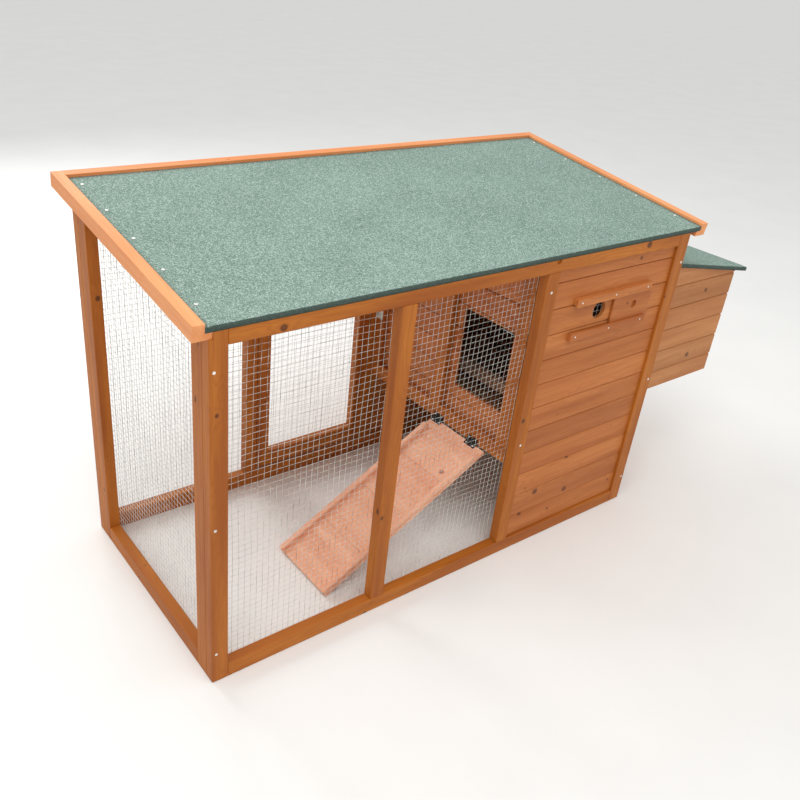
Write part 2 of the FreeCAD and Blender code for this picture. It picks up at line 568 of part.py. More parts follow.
lidFelt = [box("lid_felt_top", ("LidLong", lidWide, "FeltThick"),
               on_lid("LidStart", lidFront, "%s - FeltThick" % lidTop), lidTilt),
           box("lid_felt_out", ("FeltThick", lidWide, "FeltThick + LidThick"),
               on_lid("LidStart + LidLong - FeltThick", lidFront, lidUnder), lidTilt)]
lidFelt += [box("lid_felt_" + side, ("LidLong", "FeltThick", "FeltThick + LidThick"),
                on_lid("LidStart", y, lidUnder), lidTilt)
            for side, y in (("front", lidFront), ("back", "%s + %s - FeltThick" % (lidFront, lidWide)))]
part("nest_lid_felt", fuse("nest_lid_felt", lidFelt))
hinges("lid", [(lidAxisX, "NestFront + NestDeep / 2 %s LidHingeApart / 2" % sign, "LidAxisZ")
               for sign in "-+"], facing(Z, X), facing(*sloping("LidPitch")))

# ---------------------------------------------------------------- run door in the back
doorTall = "DoorTop - DoorFoot"
group("run_door_stiles", [
    eased("run_door_stile_" + side, ("DoorStile", "Thick", doorTall), (x, backY, "DoorFoot"))
    for side, x in (("left", "DoorX"), ("right", "DoorX + DoorWide - DoorStile"))])
group("run_door_rails", [
    eased("run_door_rail_" + end, ("DoorWide - 2 * DoorStile - 2 * Fit", "Thick", "DoorRail"),
          ("DoorX + DoorStile + Fit", backY, z))
    for end, z in (("bottom", "DoorFoot"), ("top", "DoorTop - DoorRail"))])
backFace = "FrameDepth + Fit"
hinges("run_door", [("DoorAxisX", backFace + " + Knuckle", z) for z in ("DoorHingeLow", "DoorHingeHigh")],
       facing(X, Y), facing(-X, Y))
boltY = "FrameDepth + BoltOut"


def bolt_holder(name, x, long, loops, play):
    """A plate on the back face with loops that a round bolt slides through."""
    pieces = [box(name + "_plate", (long, "BoltPlateThick", "BoltPlateTall"),
                  (x, backFace, "BoltZ - BoltPlateTall / 2"))]
    pieces += [box("%s_loop_%d" % (name, k), (wide, "BoltLoopOut", "2 * BoltLoop + 2 * BoltPlateThick"),
                   (loop, backFace, "BoltZ - BoltLoop - BoltPlateThick"))
               for k, (loop, wide) in enumerate(loops)]
    bore = rod(name + "_bore", "BoltRod + " + play, "4 * BoltLong",
               ("BoltStart - 2 * BoltLong", boltY, "BoltZ"), ALONG_X)
    return part(name, cut(name, fuse(name + "_solid", pieces), [bore]))


bolt_holder("door_bolt_plate", "BoltPlateX", "BoltPlateLong",
            [("BoltPlateX", "BoltLoop"), ("BoltPlateX + BoltPlateLong - BoltLoop", "BoltLoop")], "BoltRun")
bolt_holder("door_bolt_keeper", "KeeperX", "KeeperLong", [("KeeperX", "KeeperLong")], "KeeperRun")
part("door_bolt", fuse("door_bolt", [
    rod("door_bolt_rod", "BoltRod", "BoltLong", ("BoltStart", boltY, "BoltZ"), ALONG_X),
    rod("door_bolt_knob", "BoltKnob", "BoltKnobOut", ("BoltKnobX", boltY, "BoltZ"), ALONG_Y)]))

# ---------------------------------------------------------------- wire mesh sheets
onInside = "Thick + Fit"
meshIn = "Thick + MeshThick + 2 * Fit"
meshBack = "FrameDepth + Fit"
part("front_mesh", box("front_mesh", (
    "Divider + MeshLap - (%s)" % meshIn, "MeshThick", "RailUnder - FrontRail + 2 * MeshLap"),
    (meshIn, onInside, "FrontRail - MeshLap")))
part("back_mesh", box("back_mesh", (
    "DoorPostLeft - Stile + 2 * BackLap", "MeshThick", "%s - BackRail + 2 * BackLap" % backUnder),
    ("Stile - BackLap", meshBack, "BackRail - BackLap")))
part("run_door_mesh", box("run_door_mesh", (
    "DoorWide - 2 * DoorStile + 2 * BackLap", "MeshThick", "DoorTop - DoorFoot - 2 * DoorRail + 2 * BackLap"),
    ("DoorX + DoorStile - BackLap", meshBack, "DoorFoot + DoorRail - BackLap")))
meshLong = "(FrameDepth - Thick - (%s) - Fit)" % meshIn
meshTop = "(RoofTop + (%s) * tan(RoofPitch * 1deg) - %s / %s - MeshRoofGap - SideRail + MeshLap)"
leftMesh = [("0", "0"), (meshLong, "0"),
            (meshLong, meshTop % ("%s + %s" % (meshLong, meshIn), deckUnder, roofCos)),
            ("0", meshTop % (meshIn, deckUnder, roofCos))]
part("left_mesh", padded("left_mesh", leftMesh, "MeshThick", (onInside, meshIn, "SideRail - MeshLap")))

# ---------------------------------------------------------------- screws and bracket
screwX = ("ScrewIn", "FrameLength - ScrewIn")
screwZ = ("ScrewLow", "ScrewMiddle", "ScrewHigh")
frontScrews = [
    rod("front_screw_%d_%d" % (side, end), "ScrewHead", "NailThick", (x, "-Fit / 4", z), (X, 90))
    for side, x in enumerate(screwX) for end, z in enumerate(screwZ)]
dividerScrews = [
    rod("divider_screw_%d" % end, "ScrewHead", "NailThick", ("Divider + Stile / 2", "-Fit / 4", z), (X, 90))
    for end, z in enumerate(("DividerScrew", "ScrewHigh"))]
backScrews = [
    rod("back_screw_%d_%d" % (side, end), "ScrewHead", "NailThick", (x, "FrameDepth + Fit / 4", z), (X, -90))
    for side, x in enumerate(screwX) for end, z in enumerate(screwZ)]
group("frame_screws", frontScrews + dividerScrews + backScrews)
part("partition_bracket", box("partition_bracket", ("BoltPlateThick", "BracketWide", "BracketTall"), (
    "PartitionFace - Fit / 4 - BoltPlateThick", "%s - SideStile + BracketIn" % partEnd, "BracketZ")))

# ---------------------------------------------------------------- build, check and export
doc.recompute()
for item in doc.Objects:
    if "Invalid" in item.State or "Error" in item.State:
        raise RuntimeError("%s did not build" % item.Name)
for name, thing in exported:
    shape = thing.Shape
    if shape.isNull() or not shape.isValid():
        raise RuntimeError("%s has no sound shape" % name)
    if thing.Label != name:
        raise RuntimeError("%s is labelled %s" % (name, thing.Label))
    shape.exportStep("parts/%s.step" % name)
    span = shape.BoundBox
    print("%-24s %2d solids  x %.1f..%.1f  y %.1f..%.1f  z %.1f..%.1f" % (
        name, len(shape.Solids), span.XMin, span.XMax, span.YMin, span.YMax, span.ZMin, span.ZMax))
print(len(exported), "sub-parts")
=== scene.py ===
import bpy
import bmesh
import json
from math import ceil, cos, pi, radians, sin, tan
from mathutils import Matrix, Vector, noise


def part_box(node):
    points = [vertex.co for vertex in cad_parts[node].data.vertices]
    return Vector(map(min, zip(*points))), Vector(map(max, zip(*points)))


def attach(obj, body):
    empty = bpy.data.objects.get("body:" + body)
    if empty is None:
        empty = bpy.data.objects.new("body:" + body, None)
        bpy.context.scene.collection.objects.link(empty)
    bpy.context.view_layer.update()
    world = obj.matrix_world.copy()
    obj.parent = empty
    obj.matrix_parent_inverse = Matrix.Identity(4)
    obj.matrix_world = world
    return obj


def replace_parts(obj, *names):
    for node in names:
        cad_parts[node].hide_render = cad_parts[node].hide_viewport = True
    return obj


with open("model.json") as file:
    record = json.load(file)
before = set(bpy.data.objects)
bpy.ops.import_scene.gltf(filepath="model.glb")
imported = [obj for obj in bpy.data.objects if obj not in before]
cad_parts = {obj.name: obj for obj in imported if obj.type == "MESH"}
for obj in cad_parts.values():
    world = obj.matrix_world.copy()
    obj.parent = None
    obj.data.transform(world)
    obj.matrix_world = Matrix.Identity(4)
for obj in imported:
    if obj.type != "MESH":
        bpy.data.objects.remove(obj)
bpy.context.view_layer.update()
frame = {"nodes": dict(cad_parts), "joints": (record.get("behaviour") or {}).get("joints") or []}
nodes = frame["nodes"]
scene = bpy.context.scene
scene.view_settings.view_transform = "Standard"

roofPitch = radians(7.67)
lidPitch = radians(10.2)
rampPitch = radians(28.8)
courseTall = 0.073       # height of one shiplap board
meshPitch = 0.0159
print("frame loaded")


# node helpers

# A colour given as screen values from 0 to 255.
def tone(red, green, blue):
    def linear(value):
        value /= 255
        return value / 12.92 if value <= 0.04045 else ((value + 0.055) / 1.055) ** 2.4
    return linear(red), linear(green), linear(blue), 1


# One shader node; an input given as a socket is linked and anything else is set.
def add(tree, kind, inputs=None, **settings):
    node = tree.nodes.new(kind)
    for key, value in settings.items():
        setattr(node, key, value)
    for key, value in (inputs or {}).items():
        if isinstance(value, bpy.types.NodeSocket):
            tree.links.new(value, node.inputs[key])
        else:
            node.inputs[key].default_value = value
    return node


def sums(tree, operation, first, second=0.0, third=0.0):
    return add(tree, "ShaderNodeMath", {0: first, 1: second, 2: third}, operation=operation).outputs[0]


def mixed(tree, factor, first, second, blend="MIX"):
    node = add(tree, "ShaderNodeMix", {0: factor, 6: first, 7: second}, data_type="RGBA", blend_type=blend)
    return node.outputs[2]


def spread(tree, value, low, high, toLow=0.0, toHigh=1.0):
    return add(tree, "ShaderNodeMapRange", {0: value, 1: low, 2: high, 3: toLow, 4: toHigh}).outputs[0]


def stretched(tree, place, factors):
    return add(tree, "ShaderNodeVectorMath", {0: place, 1: factors}, operation="MULTIPLY").outputs[0]


def newGroup(name, inputs, outputs):
    tree = bpy.data.node_groups.new(name, "ShaderNodeTree")
    for label, kind in inputs.items():
        tree.interface.new_socket(label, in_out="INPUT", socket_type=kind)
    for label, kind in outputs.items():
        tree.interface.new_socket(label, in_out="OUTPUT", socket_type=kind)
    return tree, tree.nodes.new("NodeGroupInput").outputs, tree.nodes.new("NodeGroupOutput").inputs


def useGroup(tree, group, inputs):
    node = tree.nodes.new("ShaderNodeGroup")
    node.node_tree = group
    for key, value in inputs.items():
        if isinstance(value, bpy.types.NodeSocket):
            tree.links.new(value, node.inputs[key])
        else:
            node.inputs[key].default_value = value
    return node.outputs


def jointNamed(name):
    return [item for item in frame["joints"] if item["name"] == name][0]


def newMaterial(name):
    material = bpy.data.materials.new(name)
    material.use_nodes = True
    tree = material.node_tree
    shader = [node for node in tree.nodes if node.type == "BSDF_PRINCIPLED"][0]
    return material, tree, shader


# wood figure, shared by every timber: x runs along the grain, in metres

woodGrain = {
    "streakStretch": (0.9, 11, 11),
    "streakScale": 1.7,
    "slant": 0.6,                 # rings lean across the thickness of a board
    "knotCells": (7, 13, 1),
    "knotChance": 0.58,           # cells under this share carry no knot
    "knotWide": 0.085,
    "ringStep": 0.0075,
    "ringDrift": 0.075,
    "ringBulge": 0.016,
    "fibreStretch": (9, 700, 700),
}


def buildWoodFigure():
    tree, given, out = newGroup("woodFigure", {"Place": "NodeSocketVector"}, {
        "Streak": "NodeSocketFloat", "Ring": "NodeSocketFloat", "Knot": "NodeSocketFloat",
        "Fibre": "NodeSocketFloat"})
    place = given["Place"]
    long = stretched(tree, place, woodGrain["streakStretch"])
    broad = add(tree, "ShaderNodeTexNoise", {
        "Vector": long, "Scale": woodGrain["streakScale"], "Detail": 4, "Roughness": 0.55})
    tree.links.new(spread(tree, broad.outputs[0], 0.3, 0.7), out["Streak"])
    across = add(tree, "ShaderNodeSeparateXYZ", {0: place}).outputs
    depth = sums(tree, "MULTIPLY_ADD", across[2], woodGrain["slant"], across[1])
    # knots: one small ellipse in some of the cells
    flat = add(tree, "ShaderNodeCombineXYZ", {0: across[0], 1: depth}).outputs[0]
    cells = stretched(tree, flat, woodGrain["knotCells"])
    knots = add(tree, "ShaderNodeTexVoronoi", {"Vector": cells, "Scale": 1.0, "Randomness": 1.0},
                voronoi_dimensions="2D")
    chosen = add(tree, "ShaderNodeSeparateColor", {0: knots.outputs["Color"]}).outputs[0]
    wide = spread(tree, chosen, woodGrain["knotChance"], 1.0, 0.0, woodGrain["knotWide"])
    knot = spread(tree, sums(tree, "SUBTRACT", knots.outputs["Distance"], wide), 0.006, -0.022)
    tree.links.new(knot, out["Knot"])
    near = spread(tree, knots.outputs["Distance"], 0.45, 0.0)
    bulge = sums(tree, "MULTIPLY", sums(tree, "MULTIPLY", near, near), woodGrain["ringBulge"])
    # year rings, drifting along the board and bulging round each knot
    drift = sums(tree, "MULTIPLY", broad.outputs[0], woodGrain["ringDrift"])
    ring = sums(tree, "ADD", sums(tree, "ADD", depth, drift), bulge)
    ring = sums(tree, "SINE", sums(tree, "MULTIPLY", ring, 2 * pi / woodGrain["ringStep"]))
    tree.links.new(spread(tree, ring, -0.2, 1.0), out["Ring"])
    thread = stretched(tree, place, woodGrain["fibreStretch"])
    fibre = add(tree, "ShaderNodeTexNoise", {"Vector": thread, "Scale": 1.0, "Detail": 2, "Roughness": 0.6})
    tree.links.new(spread(tree, fibre.outputs[0], 0.3, 0.7), out["Fibre"])
    return tree


woodFigure = buildWoodFigure()
grainTurns = {
    "x": (0, 0, 0),
    "y": (0, 0, -pi / 2),
    "z": (0, pi / 2, 0),
    "roof": (-roofPitch, 0, -pi / 2),
    "ramp": (0, rampPitch, 0),
}
woodTones = {             # light, dark and knot colours
    "frame": (tone(190, 114, 34), tone(146, 74, 14), tone(72, 34, 14)),
    "board": (tone(200, 126, 66), tone(162, 88, 36), tone(80, 42, 26)),
    "nest": (tone(200, 138, 84), tone(168, 104, 54), tone(80, 46, 30)),
    # the ramp tones are the pale pinkish colour of its boards, made paler still as painted light for the
    # light the ramp catches
    "ramp": (tone(248, 198, 164), tone(226, 156, 120), tone(130, 70, 48)),
    "roofEdge": (tone(242, 172, 116), tone(214, 132, 76), tone(104, 52, 28)),
    "inside": (tone(226, 176, 124), tone(196, 140, 88), tone(106, 60, 36)),
    "perch": (tone(255, 214, 176), tone(244, 186, 142), tone(150, 90, 60)),
}


woodLook = {
    "rough": 0.55,
    "ringShare": 0.32,
    "fibreShare": 0.22,
    "knotShare": 0.8,
    "boardLevels": (0.9, 1.06),   # darkest and lightest board of a stack
    "boardShift": 7.0,            # moves the figure from board to board
    "shine": 0.32,
    "bump": 0.25,
    "bumpDeep": 0.0006,
}


# Stained softwood; coursesFrom is the height where a stack of boards starts.
def wood(kind, along, coursesFrom=None):
    material, tree, shader = newMaterial("wood_%s_%s_%s" % (kind, along, coursesFrom or "plain"))
    light, dark, knotTone = woodTones[kind]
    place = add(tree, "ShaderNodeTexCoord").outputs["Object"]
    board = 0.0
    if coursesFrom is not None:
        height = add(tree, "ShaderNodeSeparateXYZ", {0: place}).outputs[2]
        above = sums(tree, "SUBTRACT", height, coursesFrom)
        board = sums(tree, "FLOOR", sums(tree, "DIVIDE", above, courseTall))
    luck = add(tree, "ShaderNodeTexWhiteNoise", {"W": board}, noise_dimensions="1D")
    shift = add(tree, "ShaderNodeVectorMath", {
        0: luck.outputs["Color"], "Scale": woodLook["boardShift"]}, operation="SCALE")
    moved = add(tree, "ShaderNodeVectorMath", {0: place, 1: shift.outputs[0]}, operation="ADD").outputs[0]
    turned = add(tree, "ShaderNodeMapping", {"Vector": moved, "Rotation": grainTurns[along]}).outputs[0]
    figure = useGroup(tree, woodFigure, {"Place": turned})
    colour = mixed(tree, figure["Streak"], light, dark)
    colour = mixed(tree, sums(tree, "MULTIPLY", figure["Ring"], woodLook["ringShare"]), colour, dark)
    colour = mixed(tree, sums(tree, "MULTIPLY", figure["Fibre"], woodLook["fibreShare"]), colour, dark)
    if coursesFrom is not None:
        level = spread(tree, luck.outputs["Value"], 0, 1, *woodLook["boardLevels"])
        grey = add(tree, "ShaderNodeCombineColor", {0: level, 1: level, 2: level}).outputs[0]
        colour = mixed(tree, 1.0, colour, grey, "MULTIPLY")
    colour = mixed(tree, sums(tree, "MULTIPLY", figure["Knot"], woodLook["knotShare"]), colour, knotTone)
    tree.links.new(colour, shader.inputs["Base Color"])
    rough = woodLook["rough"]
    tree.links.new(spread(tree, figure["Fibre"], 0, 1, rough - 0.08, rough + 0.1), shader.inputs["Roughness"])
    shader.inputs["Specular IOR Level"].default_value = woodLook["shine"]
    relief = sums(tree, "MULTIPLY_ADD", figure["Ring"], 0.5, figure["Fibre"])
    bump = add(tree, "ShaderNodeBump", {
        "Height": relief, "Strength": woodLook["bump"], "Distance": woodLook["bumpDeep"]})
    tree.links.new(bump.outputs[0], shader.inputs["Normal"])
    return material


# roofing felt

# the last share darkens the deep tone into the painted shade on the upright folds
feltLook = {"gritScale": 420, "fleckScale": 520, "foldShadeShare": 0.3, "bump": 0.5, "bumpDeep": 0.0012}


def feltMaterial(name, base, specks, deep):
    material, tree, shader = newMaterial(name)
    place = add(tree, "ShaderNodeTexCoord").outputs["Object"]
    cloud = add(tree, "ShaderNodeTexNoise", {"Vector": place, "Scale": 5, "Detail": 4}).outputs[0]
    grit = add(tree, "ShaderNodeTexNoise", {
        "Vector": place, "Scale": feltLook["gritScale"], "Detail": 3, "Roughness": 0.7}).outputs[0]
    flecks = add(tree, "ShaderNodeTexVoronoi", {"Vector": place, "Scale": feltLook["fleckScale"]}).outputs
    bright = add(tree, "ShaderNodeSeparateColor", {0: flecks["Color"]}).outputs[0]
    colour = mixed(tree, spread(tree, cloud, 0.35, 0.65, 0.0, 0.35), base, deep)
    colour = mixed(tree, spread(tree, grit, 0.42, 0.62, 0.5, 0.0), colour, deep)
    colour = mixed(tree, spread(tree, bright, 0.5, 1.0, 0.0, 0.62), colour, specks)
    colour = mixed(tree, spread(tree, bright, 0.35, 0.0, 0.0, 0.75), colour, deep)
    # painted shade: the upright folds are darkened by the way they face, standing in for the shade that falls
    # on them
    facing = add(tree, "ShaderNodeNewGeometry").outputs["Normal"]
    upright = add(tree, "ShaderNodeSeparateXYZ", {0: facing}).outputs[2]
    shadedFoldTone = add(tree, "ShaderNodeVectorMath", {
        0: deep[:3], "Scale": feltLook["foldShadeShare"]}, operation="SCALE").outputs[0]
    colour = mixed(tree, spread(tree, upright, 0.93, 0.5, 0.0, 0.85), colour, shadedFoldTone)
    tree.links.new(colour, shader.inputs["Base Color"])
    shader.inputs["Roughness"].default_value = 0.9
    relief = sums(tree, "MULTIPLY_ADD", flecks["Distance"], -0.6, grit)
    bump = add(tree, "ShaderNodeBump", {
        "Height": relief, "Strength": feltLook["bump"], "Distance": feltLook["bumpDeep"]})
    tree.links.new(bump.outputs[0], shader.inputs["Normal"])
    return material


# metals

metalLook = {"blotchScale": 90, "roughSpread": 0.18, "bump": 0.15, "bumpDeep": 0.0004}


def metalMaterial(name, light, dark, metallic, rough):
    material, tree, shader = newMaterial(name)
    place = add(tree, "ShaderNodeTexCoord").outputs["Object"]
    blotch = add(tree, "ShaderNodeTexNoise", {
        "Vector": place, "Scale": metalLook["blotchScale"], "Detail": 4}).outputs[0]
    blotch = spread(tree, blotch, 0.35, 0.65)
    tree.links.new(mixed(tree, blotch, light, dark), shader.inputs["Base Color"])
    roughest = rough + metalLook["roughSpread"]
    tree.links.new(spread(tree, blotch, 0, 1, rough, roughest), shader.inputs["Roughness"])
    shader.inputs["Metallic"].default_value = metallic
    bump = add(tree, "ShaderNodeBump", {
        "Height": blotch, "Strength": metalLook["bump"], "Distance": metalLook["bumpDeep"]})
    tree.links.new(bump.outputs[0], shader.inputs["Normal"])
    return material


zinc = metalMaterial("zinc_wire", tone(226, 229, 224), tone(184, 188, 182), 0.3, 0.42)
blackMetal = metalMaterial("black_lacquer", tone(34, 33, 33), tone(16, 16, 17), 0.3, 0.38)
nailMetal = metalMaterial("galvanised_nail", tone(240, 240, 236), tone(208, 208, 204), 0.2, 0.4)
roofFelt = feltMaterial("mineral_felt", tone(126, 152, 140), tone(200, 214, 207), tone(74, 102, 91))
print("materials made")

# parts that keep their own shape

courseStart = {"front": 0.0412, "back": 0.0482, "right": 0.0452, "partition": 0.320, "nest": 0.346}
paint = {                 # wood, grain direction and where the courses start
    ("frame", "z", None): ["front_stiles", "front_posts", "left_stiles", "right_stiles", "back_stiles",
                           "back_posts", "partition_stiles", "run_door_stiles"],
    ("frame", "x", None): ["front_rail_bottom", "front_rail_top", "back_rail_bottom", "back_rail_top",
                           "run_door_rails"],
    ("frame", "y", None): ["side_rails_bottom", "partition_rail_bottom", "nest_opening_rails"],
    ("frame", "roof", None): ["left_rail_top", "right_rail_top"],
    ("board", "x", courseStart["front"]): ["house_front_boards"],
    ("board", "x", courseStart["back"]): ["house_back_boards"],
    ("board", "y", courseStart["right"]): ["house_right_boards"],
    ("board", "y", courseStart["partition"]): ["partition_boards"],
    ("nest", "x", courseStart["nest"]): ["nest_side_boards"],
    ("nest", "y", courseStart["nest"]): ["nest_end_boards"],
    ("board", "x", None): ["vent_runners", "vent_slider"],
    ("roofEdge", "roof", None): ["roof_side_battens"],
    ("roofEdge", "x", None): ["roof_batten_back", "roof_deck", "nest_lid_board"],
    ("ramp", "y", None): ["ramp_boards"],
    ("ramp", "ramp", None): ["ramp_battens"],
    ("inside", "x", None): ["house_floor", "floor_bearers", "nest_floor", "nest_divider"],
    ("perch", "y", None): ["perch"],
    ("inside", "y", None): ["perch_blocks"],
    ("inside", "z", None): ["nest_corner_posts"],
}


def dress(node, material):
    mesh = nodes[node].data
    mesh.materials.clear()
    mesh.materials.append(material)


for (kind, along, coursesFrom), names in paint.items():
    material = wood(kind, along, coursesFrom)
    for name in names:
        dress(name, material)
for name in ("roof_felt", "nest_lid_felt"):
    dress(name, roofFelt)
for name in nodes:
    if "hinges" in name or "bolt" in name:
        dress(name, blackMetal)
for name in ("frame_screws", "vent_nails", "partition_bracket"):
    dress(name, zinc)
dress("felt_nails", nailMetal)
print("parts painted")


# new pieces

# A mesh piece built by a function that fills a bmesh.
def newPiece(name, body, build, material, smooth=True):
    mesh = bpy.data.meshes.new(name)
    bm = bmesh.new()
    build(bm)
    bmesh.ops.recalc_face_normals(bm, faces=bm.faces)
    bm.to_mesh(mesh)
    bm.free()
    for face in mesh.polygons:
        face.use_smooth = smooth
    mesh.materials.append(material)
    piece = bpy.data.objects.new(name, mesh)
    scene.collection.objects.link(piece)
    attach(piece, body)
    return piece


# A thin tube through points, closed at both ends.
def wire(bm, points, radius, sides=4):
    rings = []
    for index, point in enumerate(points):
        ahead = points[min(index + 1, len(points) - 1)] - points[max(index - 1, 0)]
        turn = ahead.to_track_quat("Z", "Y").to_matrix()
        rings.append([bm.verts.new(point + turn @ Vector((
            radius * cos(2 * pi * k / sides), radius * sin(2 * pi * k / sides), 0))) for k in range(sides)])
    for low, high in zip(rings, rings[1:]):
        for k in range(sides):
            bm.faces.new((low[k], low[(k + 1) % sides], high[(k + 1) % sides], high[k]))
    bm.faces.new(reversed(rings[0]))
    bm.faces.new(rings[-1])


# welded wire mesh

wireRadius = 0.0005
netSway = {"wide": 0.004, "wideTurns": 5, "fine": 0.0012, "fineTurns": 19}


# Square netting standing on corner; topAt gives its height at a distance across.
def netting(name, body, corner, across, wide, topAt, seed):
    outward = across.cross(Vector((0, 0, 1)))
    step = 2 * meshPitch

    def sway(u, v, which):
        slow, quick = netSway["wideTurns"], netSway["fineTurns"]
        drift = noise.noise(Vector((u * slow + seed, v * slow, which))) * netSway["wide"]
        return drift + noise.noise(Vector((u * quick + seed, v * quick, which + 5))) * netSway["fine"]

    def at(u, v, depth):
        return corner + across * u + Vector((0, 0, v)) + outward * depth

    def build(bm):
        columns = int(wide / meshPitch)
        margin = (wide - columns * meshPitch) / 2
        for column in range(columns + 1):
            u = min(max(margin + column * meshPitch, wireRadius), wide - wireRadius)
            tall = topAt(u)
            count = ceil(tall / step)
            inner = 1 if 0 < column < columns else 0
            wire(bm, [at(u + inner * sway(u, tall * k / count, 1), tall * k / count, wireRadius)
                      for k in range(count + 1)], wireRadius)
        tallest = max(topAt(0), topAt(wide))
        for row in range(int(tallest / meshPitch) + 1):
            v = row * meshPitch + wireRadius
            inside = [k * step / 4 for k in range(int(wide / (step / 4)) + 1) if topAt(k * step / 4) > v]
            if len(inside) < 2:
                continue
            start, end = inside[0], inside[-1]
            count = ceil((end - start) / step)
            spots = [start + (end - start) * k / count for k in range(count + 1)]
            inner = 1 if row else 0
            wire(bm, [at(u, v + inner * sway(u, v, 2), -wireRadius) for u in spots], wireRadius)

    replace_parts(newPiece(name + "_wires", body, build, zinc), name)


xAxis, yAxis = Vector((1, 0, 0)), Vector((0, 1, 0))


def middleOf(node, axis):
    low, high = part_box(node)
    return (low[axis] + high[axis]) / 2


def nettingOnNode(name, body, across, seed):
    low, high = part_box(name)
    along = 0 if across.x else 1
    corner = low.copy()
    corner[1 - along] = middleOf(name, 1 - along)
    wide = high[along] - low[along]
    tall = high.z - low.z
    fall = tan(roofPitch) if along == 1 else 0       # the side sheet follows the roof
    netting(name, body, corner, across, wide, lambda u: tall - (wide - u) * fall, seed)


nettingOnNode("front_mesh", "coop", xAxis, 3)
nettingOnNode("back_mesh", "coop", xAxis, 11)
nettingOnNode("run_door_mesh", "run_door", xAxis, 17)
nettingOnNode("left_mesh", "coop", yAxis, 23)


def ventNetting():
    low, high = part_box("vent_mesh")
    middle = (low + high) / 2
    radius = (high.x - low.x) / 2

    def build(bm):
        rimShare = 0.97                  # wires nearer the rim than this are left out
        count = int(radius / meshPitch)
        for k in range(-count, count + 1):
            offset = (k + 0.5) * meshPitch
            if abs(offset) > radius * rimShare:
                continue
            half = (radius ** 2 - offset ** 2) ** 0.5
            for direction, depth in ((Vector((0, 0, 1)), 1), (xAxis, -1)):
                side = xAxis if depth > 0 else Vector((0, 0, 1))
                spot = middle + side * offset + yAxis * depth * wireRadius
                wire(bm, [spot - direction * half, spot + direction * half], wireRadius)

    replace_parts(newPiece("vent_mesh_wires", "coop", build, zinc), "vent_mesh")


ventNetting()
print("netting made")


# heads of screws and nails

weld = 1e-6


# The middle and the corners of every loose solid of a node.
def solidsOf(node):
    mesh = bmesh.new()
    mesh.from_mesh(nodes[node].data)
    bmesh.ops.remove_doubles(mesh, verts=mesh.verts, dist=weld)
    seen = set()
    found = []
    for start in mesh.verts:
        if start in seen:
            continue
        seen.add(start)
        island = [start]
        for vert in island:              # the list grows as neighbours are found
            for edge in vert.link_edges:
                other = edge.other_vert(vert)
                if other not in seen:
                    seen.add(other)
                    island.append(other)
        corners = [vert.co.copy() for vert in island]
        low = Vector(min(corner[axis] for corner in corners) for axis in range(3))
        high = Vector(max(corner[axis] for corner in corners) for axis in range(3))
        found.append(((low + high) / 2, corners))
    mesh.free()
    return found


head = {                  # levels are shares of the radius and of the height
    "sides": 16,
    "dome": [(1.0, -0.5), (1.0, 0.05), (0.9, 0.3), (0.66, 0.46)],
    "recess": [(0.4, 0.48), (0.32, 0.1)],
    "starPinch": 0.45,
}


# A low dome with an optional star recess, centred on middle and tall thick.
def discHead(bm, middle, outward, radius, tall, recess):
    sides = head["sides"]
    turn = outward.to_track_quat("Z", "Y").to_matrix()
    levels = [(wide, height, 1.0) for wide, height in head["dome"]]
    if recess:
        levels += [(wide, height, head["starPinch"]) for wide, height in head["recess"]]
    rings = []
    for wide, height, pinch in levels:
        ring = []
        for k in range(sides):
            reach = wide * (pinch if k % 4 else 1.0)
            spot = Vector((cos(2 * pi * k / sides) * reach * radius, sin(2 * pi * k / sides) * reach * radius,
                           height * tall))
            ring.append(bm.verts.new(middle + turn @ spot))
        rings.append(ring)
    for low, high in zip(rings, rings[1:]):
        for k in range(sides):
            bm.faces.new((low[k], low[(k + 1) % sides], high[(k + 1) % sides], high[k]))
    bm.faces.new(rings[0])
    bm.faces.new(rings[-1])


# Replaces the plain discs of a node; normal gives the outward direction at a place.
def makeHeads(node, body, normal, material, recess=False):
    def build(bm):
        for middle, corners in solidsOf(node):
            outward = normal(middle)
            heights = [(corner - middle).dot(outward) for corner in corners]
            arms = [(corner - middle) - outward * height for corner, height in zip(corners, heights)]
            radius = max(arm.length for arm in arms)
            discHead(bm, middle, outward, radius, max(heights) - min(heights), recess)

    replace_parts(newPiece(node + "_heads", body, build, material, smooth=False), node)


def awayFromMiddle(place):
    return yAxis if place.y > 0 else -yAxis


roofUp = Vector((0, -sin(roofPitch), cos(roofPitch)))
makeHeads("frame_screws", "coop", awayFromMiddle, nailMetal, recess=True)
makeHeads("vent_nails", "coop", lambda place: -yAxis, nailMetal)
makeHeads("felt_nails", "coop", lambda place: roofUp, nailMetal)


hingeScrew = {
    "inset": 0.0055,              # from the outer edge of the leaf
    "radius": 0.0022,
    "tall": 0.001,
    "lift": 0.0003,
    "leafThin": 0.001,            # corners closer than this are the same corner
    "spacing": 3,                 # a third of the leaf to either side of its middle
}


# Two screws in every leaf, on the face that looks towards the pin.
def hingeScrews(name, body, node, joint):
    hinge = jointNamed(joint)
    pivot, axis = Vector(hinge["pos_m"]), Vector(hinge["axis"]).normalized()

    leafThin = hingeScrew["leafThin"]

    def build(bm):
        for _, corners in solidsOf(node):
            spans = [(corner - pivot).dot(axis) for corner in corners]
            arms = [corner - pivot - axis * span for corner, span in zip(corners, spans)]
            under = max(arms, key=lambda arm: arm.length)
            upper = max((arm for arm in arms if (arm - under).length > leafThin), key=lambda arm: arm.length)
            outward = (upper - under).normalized()
            inward = outward.cross(axis)
            if inward.dot(under) > 0:
                inward = -inward
            spot = pivot + upper + inward * hingeScrew["inset"] + axis * (min(spans) + max(spans)) / 2
            for side in (-1, 1):
                place = spot + axis * side * (max(spans) - min(spans)) / hingeScrew["spacing"]
                discHead(bm, place + outward * hingeScrew["lift"], outward, hingeScrew["radius"],
                         hingeScrew["tall"], True)

    newPiece(name, body, build, nailMetal, smooth=False)


